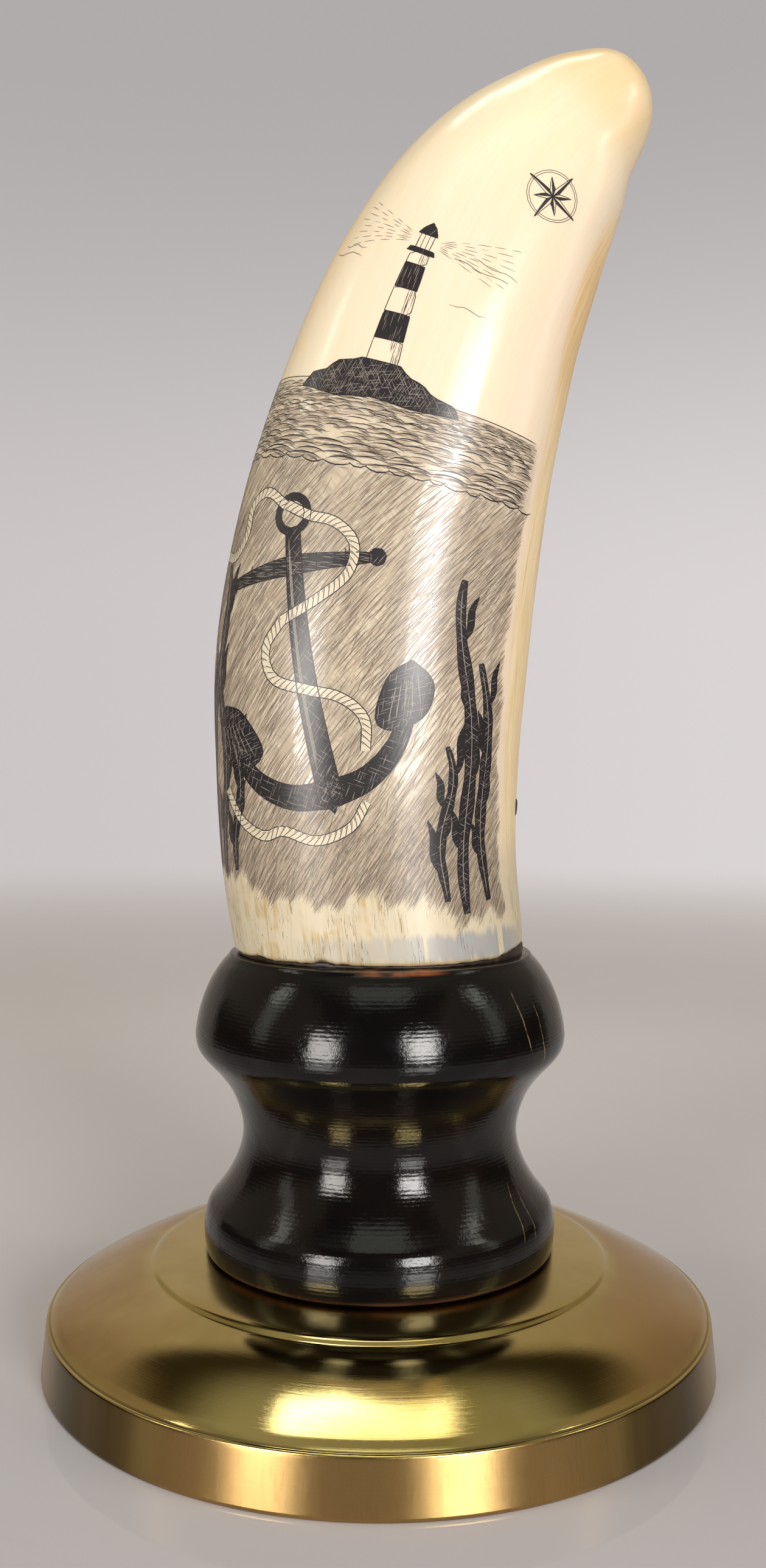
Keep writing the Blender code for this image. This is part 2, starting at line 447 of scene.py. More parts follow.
def ivory_material():
    """Polished ivory: warm, mottled along its length, rough and yellow down its right edge and root, with a
    painted warm glow of light on its upper left and partly at its amber tip.
    """
    g = Material("polished_ivory")
    # The grid holds centimetres: around the tooth in X, up it in Y
    grid = g.node("UVMap", uv_map="tooth_grid").outputs[0]
    around, along, _ = g.axes(grid)
    mottle = g.noise(grid, (2.2, 0.35, 1), 4)
    fine_grain = g.noise(grid, (14, 0.9, 1), 4, 0.6)
    broad = g.noise(grid, (0.7, 0.22, 1), 2)
    stria = g.noise(grid, (22, 0.5, 1), 5, 0.65)
    bands = g.noise(grid, (7, 0.8, 1), 3, 0.6)
    wobble = g.times(g.math("SUBTRACT", broad, 0.5), 1.4)
    wavering = g.plus(around, wobble)

    cream = (0.83, 0.70, 0.52)
    warm = (0.88, 0.74, 0.51)
    rosy = (0.86, 0.69, 0.53)
    pale = (0.83, 0.77, 0.66)
    straw = (0.74, 0.55, 0.28)
    tip_amber_and_painted_glow = (0.83, 0.61, 0.33)
    painted_glow_amber = (0.86, 0.66, 0.37)
    ochre = (0.50, 0.35, 0.13)
    # Painted glow of light: the upper left side is warmed to amber where the light falls on it
    left = g.times(g.ramp(wavering, -2.7, -1.3, 0.75, 0.0), g.ramp(along, 8.0, 11.0))
    colour = g.coats(
        cream,
        (g.ramp(along, 10.5, 14.5), warm),
        # The tip's amber is partly the ivory's own colour and partly a painted glow; the two coats after it
        # paint the left side's glow
        (g.ramp(along, 13.7, 14.5, 0.0, 0.8), tip_amber_and_painted_glow),
        (g.ramp(wavering, -3.2, -1.0, 0.45, 0.0), warm),
        (left, painted_glow_amber),
        (g.ramp(wavering, 0.2, 2.2, 0.0, 0.8), rosy),
        (g.ramp(mottle, 0.35, 0.75, 0.0, 0.28), pale),
        (g.ramp(fine_grain, 0.3, 0.8, 0.0, 0.16), straw),
    )

    # The rough edge at the right, which runs on round the back and nears the front towards the tip
    edge_at = g.plus(around, g.times(wobble, 0.12))
    edge = g.window(g.plus(edge_at, g.ramp(along, 8.0, 13.0, 0.0, 0.67)), 2.42, 6.0, 0.14)
    edge = g.times(edge, g.ramp(along, 13.8, 12.8, 0.0, 1.0))
    stain = g.times(g.window(along, 9.3, 12.6, 0.8), g.ramp(stria, 0.35, 0.6, 0.25, 0.8))
    edge_colour = g.coats(
        (0.90, 0.72, 0.46),
        (g.ramp(bands, 0.36, 0.66), (0.84, 0.63, 0.34)),
        (g.ramp(stria, 0.5, 0.72, 0.0, 0.6), ochre),
        (stain, (0.72, 0.45, 0.17)),
    )

    # The root: pale, with ochre streaks, fine cracks, and a grey, see-through band at its right
    root = g.ramp(g.plus(along, g.times(wobble, 0.5)), 0.9, 2.2, 1.0, 0.0)
    streaks = g.ramp(g.noise(grid, (8.5, 0.75, 1), 5, 0.6), 0.45, 0.64)
    stained = g.ramp(g.noise(grid, (1.3, 1.8, 1), 3), 0.42, 0.62, 0.15, 1.0)
    streak = g.times(streaks, stained, root, g.ramp(around, 0.9, 0.1, 0.15, 0.95))
    cracks = g.window(g.noise(grid, (26, 1.1, 1), 2, 0.5), 0.500, 0.508, 0.006)
    sparse = g.ramp(g.noise(grid, (2.5, 1.2, 1), 2), 0.48, 0.6)
    cracked = g.times(cracks, g.ramp(along, 1.0, 1.7, 1.0, 0.0), sparse)
    level = g.plus(along, g.times(g.math("SUBTRACT", bands, 0.5), 0.35))
    bars = g.ramp(g.noise(grid, (3.1, 0.05, 1), 1), 0.38, 0.41)
    grey = g.times(g.window(level, 0.06, 0.43, 0.07), g.window(edge_at, -1.1, 2.7, 0.5), bars)

    # Ink rubbed into the fine scratches of the ground
    tone = g.node("Attribute", attribute_name="tone").outputs["Fac"]
    rubbed = g.noise(grid, (2.4, 14, 1), 5, 0.65, math.radians(-38))
    colour = g.coats(
        colour,
        (g.times(edge, 0.9), edge_colour),
        (g.times(root, 0.85), (0.60, 0.52, 0.375)),
        (streak, ochre),
        (g.times(cracked, 0.85), (0.16, 0.09, 0.04)),
        (g.times(grey, g.ramp(around, -0.6, 1.6, 0.35, 0.85)), (0.33, 0.335, 0.345)),
        (g.ramp(along, 0.02, 0.12, 0.7, 0.0), ochre),
        (g.times(tone, g.ramp(rubbed, 0.25, 0.75, 0.45, 1.0)), (0.235, 0.190, 0.155)),
    )

    polish = g.ramp(mottle, 0.3, 0.8, 0.15, 0.24)
    rough = g.math("MAXIMUM", polish, g.times(edge, 0.42), g.times(root, 0.30))
    height = g.times(stria, g.plus(edge, 0.03))
    height = g.math("SUBTRACT", height, g.times(cracked, 1.5))
    waves = g.bump(g.noise(grid, (1.6, 0.4, 1), 2, 0.4), 0.22)
    return g.finished(
        Base_Color=colour,
        Roughness=rough,
        Normal=g.bump(height, 0.10, waves),
        IOR=1.54,
        Subsurface_Weight=0.22,
        Subsurface_Scale=0.0022,
        Subsurface_Radius=(1.0, 0.62, 0.34),
    )


def ink_material(name, colour, roughness):
    """Dried ink, or a scraped line."""
    return Material(name).finished(Base_Color=colour, Roughness=roughness, IOR=1.5)


def wood_material():
    """Ebonised wood: black, finely crinkled, worn to copper brown along its foot, scratched at the right,
    with a painted warm reflection of the brass on its neck.
    """
    g = Material("black_lacquered_wood")
    place = g.place()
    _, _, height, angle = g.turned(place)
    patch = g.noise(place, 95, 4)
    speck = g.noise(place, 900)
    swell = g.noise(place, 75)
    crinkle = g.noise(place, (1000, 1000, 1500), 4, 0.65)
    wander = g.times(g.noise(place, 40, 2), 2.0)
    rings = g.math("SINE", g.plus(g.times(height, 11.0), wander))
    foot = g.times(g.ramp(height, 17.3, 18.0, 1.0, 0.0), g.ramp(patch, 0.40, 0.62, 0.25, 1.0))
    # Painted reflection: a faint warm brown on the neck stands in for the brass reflected there
    neck = g.times(g.window(height, 27.0, 42.0, 5.0), g.ramp(swell, 0.35, 0.7), 0.5)
    bare = g.times(g.ramp(height, 64.15, 64.45), g.ramp(patch, 0.44, 0.54, 0.03, 0.9))
    colour = g.coats(
        (0.0030, 0.0026, 0.0028),
        (g.ramp(patch, 0.35, 0.75), (0.0060, 0.0042, 0.0038)),
        (neck, (0.012, 0.0052, 0.0030)),
        (g.times(foot, 0.85), (0.055, 0.020, 0.009)),
        (g.times(bare, g.window(angle, -0.08, 0.36, 0.10)), (0.22, 0.070, 0.022)),
        (g.ramp(speck, 0.71, 0.80, 0.0, 0.12), (0.10, 0.09, 0.08)),
    )
    # Scratches down the right of the bulb and of the foot, each by its angle, lean and ends
    waver = g.times(g.math("SUBTRACT", g.noise(place, 260), 0.5), 0.03)
    for start, lean, low, high in (
        (0.86, 0.0060, 52.5, 61.0),
        (1.00, 0.0035, 49.5, 58.5),
        (0.90, -0.0120, 23.0, 30.0),
        (1.02, -0.0100, 23.0, 29.0),
    ):
        line = g.plus(g.times(height, -lean), start + lean * low)
        off = g.math("ABSOLUTE", g.math("SUBTRACT", g.plus(angle, waver), line))
        mark = g.times(g.ramp(off, 0.002, 0.006, 1.0, 0.0), g.window(height, low, high, 1.0))
        mark = g.times(mark, g.ramp(speck, 0.42, 0.58, 0.25, 0.9))
        colour = g.mix(mark, colour, (0.20, 0.145, 0.080))
    rough = g.plus(g.ramp(swell, 0.3, 0.7, 0.085, 0.14), g.times(foot, 0.2))
    skin = g.bump(crinkle, 0.034, g.bump(rings, 0.0030, g.bump(swell, 0.24)))
    return g.finished(Base_Color=colour, Roughness=rough, Normal=skin, IOR=1.37)


def brass_material():
    """Turned brass: gold where rubbed, olive where tarnished, pinkish at its sides and back with tarnish and
    a painted reflection, brushed and brown on the rim, with painted shade on the rim's sides, inside its lip
    and round the wood's foot.
    """
    g = Material("aged_brass")
    place = g.place()
    x, y, height, angle = g.turned(place)
    radius = g.times(g.reach(x, y), 1 / MM)
    bloom = g.noise(place, 38, 4, 0.6)
    fine = g.noise(place, 420, 4, 0.6)
    # Turning marks: a fine line pattern that depends on the distance from the axis and the height
    track = g.node("CombineXYZ")
    g.link(radius, track.inputs[0])
    g.link(height, track.inputs[1])
    marks = g.noise(track.outputs[0], 5.0, 5, 0.75)
    # The rim's brushing runs up and down, so its pattern depends on the direction from the axis
    brush = g.noise(place, (2600, 2600, 156), 3, 0.7)
    bands = g.noise(place, (120, 120, 12), 3, 0.6)
    rim = g.times(g.ramp(radius, 52.9, 53.1), g.ramp(height, 8.2, 8.05))
    # Pink on the shoulder's sides and back: partly tarnish, partly a painted reflection of the warm wall
    sides = g.math("MAXIMUM", g.ramp(g.math("ABSOLUTE", x), 0.022, 0.044), g.ramp(y, -0.030, 0.010))
    shoulder = g.window(radius, 38.0, 52.4, 1.2)
    tarnish_and_painted_reflection = g.times(sides, shoulder, g.ramp(bloom, 0.3, 0.6, 0.45, 1.0))
    # Painted shade: the rim darkens at its left and right, where it reflects the dark room
    shade = g.math("MAXIMUM", g.window(angle, -1.15, -0.62, 0.16), g.window(angle, 0.62, 1.12, 0.18))
    # Painted shade: a dark line in the corner inside the rim's lip, and a dark ring on the plateau round the
    # wood's foot
    lip_painted_shade = g.times(g.window(radius, 52.5, 52.8, 0.12), g.ramp(height, 8.7, 8.4))
    foot_painted_shade = g.times(g.ramp(radius, 28.6, 28.0), g.ramp(height, 16.2, 16.5))

    gold = (0.71, 0.57, 0.23)
    olive = (0.56, 0.44, 0.15)
    pink = (0.52, 0.315, 0.14)
    brown = (0.38, 0.23, 0.085)
    # dark serves both the painted shade on the rim's sides and the rim's brushing streaks
    dark = (0.085, 0.057, 0.016)
    painted_shade_brown = (0.06, 0.04, 0.02)
    colour = g.coats(
        gold,
        (g.ramp(bloom, 0.35, 0.7), olive),
        (g.times(tarnish_and_painted_reflection, 0.75), pink),
        (g.times(rim, g.ramp(bands, 0.3, 0.7, 0.82, 0.95)), brown),
        # Painted shade on the rim's sides; the coat after it is the rim's brushing
        (g.times(shade, rim, g.ramp(bands, 0.25, 0.65, 0.8, 0.95)), dark),
        (g.times(rim, g.ramp(brush, 0.50, 0.72, 0.0, 0.14)), dark),
        (g.ramp(marks, 0.62, 0.8, 0.0, 0.18), brown),
        # Painted shade at the lip's corner and round the wood's foot
        (g.times(g.math("MAXIMUM", lip_painted_shade, foot_painted_shade), 0.5), painted_shade_brown),
    )
    rough = g.plus(g.ramp(bloom, 0.3, 0.75, 0.045, 0.075), g.times(tarnish_and_painted_reflection, 0.08))
    rough = g.math("MAXIMUM", rough, g.ramp(radius, 36.2, 35.2, 0.0, 0.19))
    rough = g.plus(rough, g.times(rim, g.ramp(brush, 0.3, 0.7, 0.14, 0.19)))
    skin = g.bump(fine, 0.004, g.bump(marks, 0.006))
    return g.finished(Base_Color=colour, Metallic=1.0, Roughness=rough, Normal=skin)


def wax_material():
    """Dark brown pitch at the root."""
    g = Material("dark_pitch")
    grain = g.noise(g.place(), 700, 4)
    colour = g.mix(g.ramp(grain, 0.35, 0.7), (0.010, 0.007, 0.006), (0.045, 0.026, 0.016))
    rough = g.ramp(grain, 0.3, 0.7, 0.35, 0.6)
    return g.finished(Base_Color=colour, Roughness=rough, Normal=g.bump(grain, 0.12))


# The ivory

CHIPS_RNG = np.random.default_rng(41)
LARGE_CHIPS = CHIPS_RNG.random(24)
SMALL_CHIPS = CHIPS_RNG.random(190) ** 2
# Bites out of the root's edge, each by its place round the tooth, its width and its height
BITES = ((-8.6, 1.1, 0.75), (-20.5, 1.6, 0.45))


def read_round(values, share, eased):
    """Values spaced evenly round the tooth, read between them at shares of the way round."""
    at = share * len(values)
    i = np.floor(at).astype(int) % len(values)
    f = at - np.floor(at)
    if eased:
        f = f * f * (3 - 2 * f)
    return values[i] * (1 - f) + values[(i + 1) % len(values)] * f


def root_edge(share):
    """How high the broken lower edge stands above the cut, by the share of the way round."""
    large = read_round(LARGE_CHIPS, share, eased=True)
    edge = 0.05 + 0.30 * read_round(SMALL_CHIPS, share, eased=False) * large + 0.22 * large
    around = (share - 0.5) * 2 * TOOTH.half_girth(0.0)
    for middle, width, height in BITES:
        edge = edge + height * np.exp(-(((around - middle) / width) ** 2))
    # At the right the root stops short of its seat
    return edge + 1.5 / (1 + np.exp(-(around - 24.0) / 1.8)) / (1 + np.exp((around - 44.0) / 2.5))


def ivory_piece(material):
    """The whole tooth with its chipped root, a grid of centimetres over it, and the ink's soft tone."""
    columns = 168
    low_rows = [0.0, 0.25, 0.6, 1.0, 1.5, 2.2]
    round_tip = TOOTH.length * (1 - 0.035 * np.cos(np.linspace(0, QUARTER_TURN, 15))[1:-1] ** 1.6)
    rows = np.concatenate([low_rows, np.linspace(3.0, 0.965 * TOOTH.length, 165), round_tip])
    share = np.arange(columns) / columns
    chipped = 1 - np.clip(rows / 9.0, 0, 1)
    along = rows[:, None] + chipped[:, None] * root_edge(share)[None, :]
    around = (share[None, :] - 0.5) * 2 * TOOTH.half_girth(along)
    points = TOOTH.point(around, along)
    normal = TOOTH.normal(around, along)
    # The lowest rings break inward, unevenly, as the saw and the chips left them
    rng = np.random.default_rng(7)
    points[0] -= normal[0] * (0.20 + 0.35 * rng.random((columns, 1)))
    points[1] -= normal[1] * (0.05 + 0.10 * rng.random((columns, 1)))
    # Beneath, two rings close in on the middle of the cut
    centre = np.array([points[0][:, 0].mean(), 0.0, ROOT_HEIGHT])
    inner = centre + (points[0] - centre) * (0.93, 0.93, 0.0)
    flat = centre + (inner - centre) * 0.5
    tip = TOOTH.point(0.0, TOOTH.length)
    everything = np.concatenate([points.reshape(-1, 3), inner, flat, centre[None], tip[None]])
    inner_at = along.size
    flat_at = inner_at + columns
    centre_at = flat_at + columns
    faces = wall(len(rows), columns) + band(inner_at, 0, columns) + band(flat_at, inner_at, columns)
    faces += fan(flat_at, centre_at, columns, downward=True)
    faces += fan(inner_at - columns, centre_at + 1, columns)
    made = new_mesh("engraved_tooth", everything, faces, material, sharp=50)
    lay_out_tooth(made.data, rows, along)
    tone = np.zeros(len(everything))
    tone[: along.size] = ground_tone(around.reshape(-1), along.reshape(-1))
    layer = made.data.attributes.new("tone", "FLOAT", "POINT")
    layer.data.foreach_set("value", tone.astype(np.float32))
    return made


def lay_out_tooth(mesh, rows, along):
    """Two UV maps: one for a baked picture, and tooth_grid, the place on the tooth in centimetres."""
    columns = along.shape[1]
    tip = len(mesh.vertices) - 1
    girth = 2 * TOOTH.half_girth(along)
    # The baked picture holds the wall, and below it the underside, small and at the left
    baked = []
    grid = []
    for polygon in mesh.polygons:
        corners = list(polygon.vertices)
        if any(along.size <= v < tip for v in corners):
            for v in corners:
                x, y, _ = mesh.vertices[v].co / MM
                baked.append((0.06 + 0.002 * x, 0.06 + 0.002 * y))
                grid.append((x / 10, 0.02))
            continue
        # A face that spans the seam at the back reads its first column as one turn on
        touched = [v % columns for v in corners if v != tip]
        over_seam = min(touched) == 0 and max(touched) == columns - 1
        last = columns if over_seam else max(touched)
        for v in corners:
            row, column = divmod(v, columns)
            share = (columns if over_seam and column == 0 else column) / columns
            if v == tip:
                baked.append((0.01 + 0.98 * last / columns, 0.99))
                grid.append((0.0, TOOTH.length / 10))
            else:
                baked.append((0.01 + 0.98 * share, 0.13 + 0.86 * rows[row] / TOOTH.length))
                grid.append(((share - 0.5) * girth[row, column] / 10, along[row, column] / 10))
    for name, values in (("OFBake", baked), ("tooth_grid", grid)):
        layer = mesh.uv_layers.new(name=name)
        layer.data.foreach_set("uv", np.array(values, np.float32).ravel())


# The engraving: a lighthouse over the sea, and below it an anchor with a rope among weed


def ground_floor(around):
    """Height of the hatched ground's ragged lower border."""
    ragged = 0.0
    for height, pace, start in ((1.2, 0.21, 0.8), (0.9, 0.63, 2.1), (0.7, 1.7, 0.0)):
        ragged = ragged + height * np.sin(pace * around + start)
    return 9.8 + ragged - 0.16 * np.clip(around, -25, 14)


def ground_right(along):
    """How far right the hatched ground goes at a height."""
    return GROUND_RIGHT + 0.35 * np.sin(0.35 * along) + 0.25 * np.sin(0.93 * along + 1.0)


def low_gloom(along):
    """0 to 1 as the ground darkens towards its foot."""
    return np.clip((DARK_BELOW - along) / 10.0, 0, 1)


def ground_tone(around, along):
    """Soft grey left under the hatching, 0 to 1."""
    rng = np.random.default_rng(5)
    patch = value_noise(np.stack([around + 0.5 * along, along - 0.3 * around], 1), 7.0, rng)
    small = value_noise(np.stack([around + 0.6 * along, along - 0.6 * around], 1), 2.4, rng)
    inside = np.clip((along - ground_floor(around) + 0.6) / 2.0, 0, 1)
    inside *= np.clip((ground_right(along) - around + 0.2) / 1.2, 0, 1)
    inside *= np.clip((around - GROUND_LEFT) / 4.0, 0, 1)
    inside *= np.clip((SEA_TOP - along) / 0.8, 0, 1)
    sea = np.clip((along - SEA_FOOT + 1.0) / 1.5, 0, 1)
    deep = 0.30 + 0.40 * patch + 0.15 * small + 0.22 * low_gloom(along)
    return inside * (deep * (1 - sea) + 0.42 * sea)


class Strokes:
    """Gathers lines on the tooth and turns them into thin closed slivers set into its surface."""

    def __init__(self, lift):
        self.lift = lift
        self.groups = {}

    def add(self, line, width, taper=0.35):
        """One line of (around, along) points with a width, or a width for each point."""
        line = np.asarray(line, float)
        reach = distances(line)
        if reach[-1] < SHORTEST_STROKE:
            return
        count = max(2, int(math.ceil(reach[-1] / STROKE_STEP)) + 1)
        at = np.linspace(0, reach[-1], count)
        spaced = np.stack([np.interp(at, reach, column) for column in line.T], 1)
        widths = np.interp(at, reach, np.broadcast_to(np.asarray(width, float), (len(line),)))
        widths[[0, -1]] *= taper
        self.groups.setdefault(count, []).append((spaced, widths))

    def piece(self, name, material):
        """The mesh of every line gathered: three points to each place, two on the ivory and a keel in it."""
        points = []
        faces = []
        base = 0
        for count, members in sorted(self.groups.items()):
            flat = np.stack([m[0] for m in members])
            half = 0.5 * np.stack([m[1] for m in members])[..., None]
            around = flat[..., 0]
            along = np.clip(flat[..., 1], 0.2, TOOTH.length - 0.5)
            out = TOOTH.normal(around, along)
            spot = TOOTH.point(around, along) + out * self.lift
            side = np.cross(np.gradient(spot, axis=1), out)
            side /= np.maximum(np.linalg.norm(side, axis=-1), 1e-9)[..., None]
            keel = spot - out * (self.lift + SLIVER_DEPTH)
            points.append(np.stack([spot - side * half, spot + side * half, keel], 2).reshape(-1, 3))
            firsts = base + 3 * count * np.arange(len(members))
            start = (firsts[:, None] + 3 * np.arange(count - 1)[None, :]).reshape(-1)
            for a, b in ((0, 1), (1, 2), (2, 0)):
                faces += np.stack([start + a, start + b, start + b + 3, start + a + 3], 1).tolist()
            lasts = firsts + 3 * (count - 1)
            faces += np.stack([firsts + 2, firsts + 1, firsts], 1).tolist()
            faces += np.stack([lasts, lasts + 1, lasts + 2], 1).tolist()
            base += 3 * count * len(members)
        return new_mesh(name, np.concatenate(points), faces, material, smooth=False)


def cut_lines(outline, angle, spacing):
    """Parallel lines at an angle in degrees, cut off where they leave a closed outline."""
    basis = directions(angle)
    local = np.asarray(outline, float) @ basis.T
    following = np.roll(local, -1, 0)
    found = []
    for level in np.arange(local[:, 1].min() + 0.5 * spacing, local[:, 1].max(), spacing):
        crosses = (local[:, 1] > level) != (following[:, 1] > level)
        a = local[crosses]
        b = following[crosses]
        x = np.sort(a[:, 0] + (level - a[:, 1]) * (b[:, 0] - a[:, 0]) / (b[:, 1] - a[:, 1]))
        for start, end in zip(x[0::2], x[1::2]):
            found.append(np.array([[start, level], [end, level]]) @ basis)
    return found


class Engraving:
    """The ink's layers and the ways of working that fill them."""

    def __init__(self):
        self.rng = np.random.default_rng(2024)
        self.wash = Strokes(WASH_LIFT)
        self.mid = Strokes(MID_LIFT)
        self.fine = Strokes(FINE_LIFT)
        self.plate = Strokes(PLATE_LIFT)
        self.scratch = Strokes(SCRATCH_LIFT)
        self.bare_rope = Strokes(ROPE_LIFT)
        self.line = Strokes(LINE_LIFT)

    def solid(self, layer, outline, angle):
        """Fills an outline with lines that touch."""
        for cut in cut_lines(outline, angle, FILL_SPACING):
            layer.add(cut, FILL_WIDTH, taper=0.9)

    def broken(self, layer, outline, angle, spacing, width, length, share, bend=0.0):
        """Fills an outline with short loose strokes, some left out."""
        for cut in cut_lines(outline, angle, spacing):
            reach = np.hypot(*(cut[1] - cut[0]))
            way = (cut[1] - cut[0]) / max(reach, 1e-9)
            side = sideways(way)
            at = -self.rng.random() * length
            while at < reach:
                run = length * (0.5 + self.rng.random())
                start = max(at, 0.0)
                end = min(at + run, reach)
                if end - start > 0.25 and self.rng.random() < share:
                    shift = side * self.rng.normal(0, 0.22 * spacing)
                    lean = side * self.rng.normal(0, 0.02 + bend) * (end - start)
                    line = np.array([cut[0] + way * start + shift, cut[0] + way * end + shift + lean])
                    layer.add(line, width * (0.7 + 0.6 * self.rng.random()))
                at += run * (0.85 + 0.35 * self.rng.random())

    def figure(self, outline, dark, light, share, edge=0.16):
        """A dark shape with its outline, and fine scratches crossing it, as (angle, spacing) pairs."""
        self.solid(self.plate, outline, dark)
        for angle, spacing in light:
            self.broken(self.scratch, outline, angle, spacing, 0.075, 1.6, share)
        self.line.add(closed(outline), edge, taper=1.0)

    def rope(self, path, width=1.5):
        """A laid rope: pale, outlined, with its strands marked."""
        path = through(path, 10)
        for offset in np.arange(-0.42, 0.43, 0.09) * width:
            self.bare_rope.add(shifted(path, offset), FILL_WIDTH, taper=0.9)
        for sign in (-1, 1):
            self.line.add(shifted(path, 0.5 * sign * width), 0.15, taper=0.6)
        reach = distances(path)
        twist = ((-0.46, -0.55), (-0.2, -0.22), (0.2, 0.22), (0.46, 0.55))
        for at in np.arange(0.5, reach[-1] - 0.5, 0.95):
            middle = np.array([np.interp(at, reach, column) for column in path.T])
            way = np.array([np.interp(at + 0.4, reach, column) for column in path.T]) - middle
            way /= max(np.hypot(*way), 1e-9)
            across = sideways(way) * width
            mark = [middle + across * off + way * lead for off, lead in twist]
            self.line.add(mark, 0.13, taper=0.7)
            self.line.add([p + way * 0.22 for p in mark[:2]], 0.16, taper=0.5)


def ground_outline():
    """The hatched ground's border."""
    across = np.linspace(GROUND_LEFT, GROUND_RIGHT, 70)
    low = np.stack([across, ground_floor(across)], 1)
    up = np.linspace(ground_floor(np.array(GROUND_RIGHT)), SEA_FOOT, 30)
    right = np.stack([ground_right(up), up], 1)
    return np.concatenate([low, right, [[GROUND_LEFT, SEA_FOOT]]])


def draw_ground(art):
    """Slanting strokes of three weights, in clouds of light and dark, ragged along the lower border."""
    outline = ground_outline()
    rng = np.random.default_rng(77)
    for layer, angle, spacing, width, length, least, gain in (
        (art.wash, 57, 0.36, 0.25, 6.0, 0.40, 0.60),
        (art.mid, 55, 0.25, 0.12, 4.5, 0.20, 0.70),
        (art.fine, 52, 0.22, 0.065, 3.2, 0.06, 0.55),
        (art.fine, 70, 0.70, 0.060, 2.6, 0.04, 0.36),
    ):
        way, side = directions(angle)
        starts = []
        runs = []
        for cut in cut_lines(outline, angle, spacing):
            reach = np.hypot(*(cut[1] - cut[0]))
            at = -rng.random() * length
            while at < reach:
                run = length * (0.45 + rng.random())
                start = max(at, -1.6 * rng.random() ** 2)
                if start < reach:
                    starts.append(cut[0] + way * start + side * rng.normal(0, 0.25 * spacing))
                    runs.append(min(run, reach - start + 0.5 * rng.random()))
                at += run * (0.8 + 0.4 * rng.random())
        starts = np.array(starts)
        runs = np.array(runs)
        middle = starts + way * runs[:, None] * 0.5
        streaked = np.stack([middle @ way, 1.9 * (middle @ side)], 1)
        cloud = value_noise(streaked, 11.0, np.random.default_rng(12))
        puff = value_noise(middle, 4.2, np.random.default_rng(13))
        thick = np.clip(0.65 * cloud + 0.35 * puff + 0.35 * low_gloom(middle[:, 1]), 0, 1)
        chance = least + gain * np.clip((thick - 0.22) / 0.5, 0, 1)
        keep = rng.random(len(starts)) < chance
        for start, run in zip(starts[keep], runs[keep]):
            lean = (way + side * rng.normal(0, 0.05)) * run
            layer.add([start, start + lean * 0.5, start + lean], width * (0.65 + 0.7 * rng.random()), 0.2)


def draw_wave(art, rng, x, reach, level, depth):
    """One wave's crest and the fine lines of its lee, by how far down the sea it is, 0 to 1."""
    swell = (0.10 + 0.55 * depth) * (0.6 + 0.8 * rng.random())
    t = np.linspace(0, 1, 9)
    hump = level + swell * (np.abs(np.sin(math.pi * t)) ** 0.7 - 0.5)
    crest = np.stack([x + reach * t, hump], 1)
    if crest[-1, 0] >= ground_right(np.array(level)) - 0.3 or rng.random() >= 0.9:
        return
    weight = (0.08 + 0.09 * depth) * (0.7 + 0.6 * rng.random())
    art.line.add(crest, weight * np.array([0.4, 0.7, 1, 1.2, 1.3, 1.2, 1, 0.7, 0.4]), 0.4)
    if rng.random() >= 0.75:
        return
    for k in range(2 + int(3 * depth)):
        a = x + reach * (0.50 + 0.08 * k + 0.05 * rng.random())
        b = x + reach * (0.95 + 0.12 * rng.random())
        top = level + 0.35 * swell - 0.17 * (k + 1)
        art.fine.add([[a, top], [0.5 * (a + b), top - 0.25 * swell], [b, top - 0.8 * swell]], 0.10)


def draw_sea(art):
    """A band of rolling waves under a fine horizon."""
    rng = np.random.default_rng(31)
    art.line.add([[SEA_LEFT, SEA_TOP], [-10.0, SEA_TOP + 0.1], [SEA_RIGHT, SEA_TOP]], 0.13)
    far_rows = np.arange(SEA_TOP - 0.6, SEA_TOP - 4.0, -0.42)
    near_rows = np.arange(SEA_TOP - 4.2, SEA_FOOT, -0.78)
    for level in np.concatenate([far_rows, near_rows]):
        depth = (SEA_TOP - level) / (SEA_TOP - SEA_FOOT)
        pitch = 1.8 + 4.5 * depth
        x = SEA_LEFT - 0.5 + rng.random() * pitch
        while x < SEA_RIGHT:
            reach = pitch * (0.7 + 0.6 * rng.random())
            draw_wave(art, rng, x, reach, level, depth)
            x += reach * (0.85 + 0.3 * rng.random())
    across = np.linspace(SEA_LEFT, SEA_RIGHT + 0.5, 60)
    top = np.stack([across, np.full(60, SEA_TOP - 0.3)], 1)
    foot = np.stack([across, SEA_FOOT + 0.5 * np.sin(0.9 * across)], 1)
    water = np.concatenate([top, foot[::-1]])
    art.broken(art.mid, water, 3, 0.36, 0.20, 3.2, 0.42, 0.02)
    art.broken(art.wash, water, -2, 0.6, 0.42, 5.0, 0.55, 0.02)
    art.broken(art.fine, water, 8, 0.55, 0.12, 2.0, 0.40, 0.04)
    x = SEA_LEFT
    while x < SEA_RIGHT:
        reach = 2.2 + 2.6 * rng.random()
        t = np.linspace(0, 1, 9)
        sag = SEA_FOOT + 0.3 - 0.55 * np.abs(np.sin(math.pi * t)) + 0.3 * rng.random()
        art.line.add(np.stack([x + reach * t, sag], 1), 0.20, 0.5)
        x += reach * 0.92


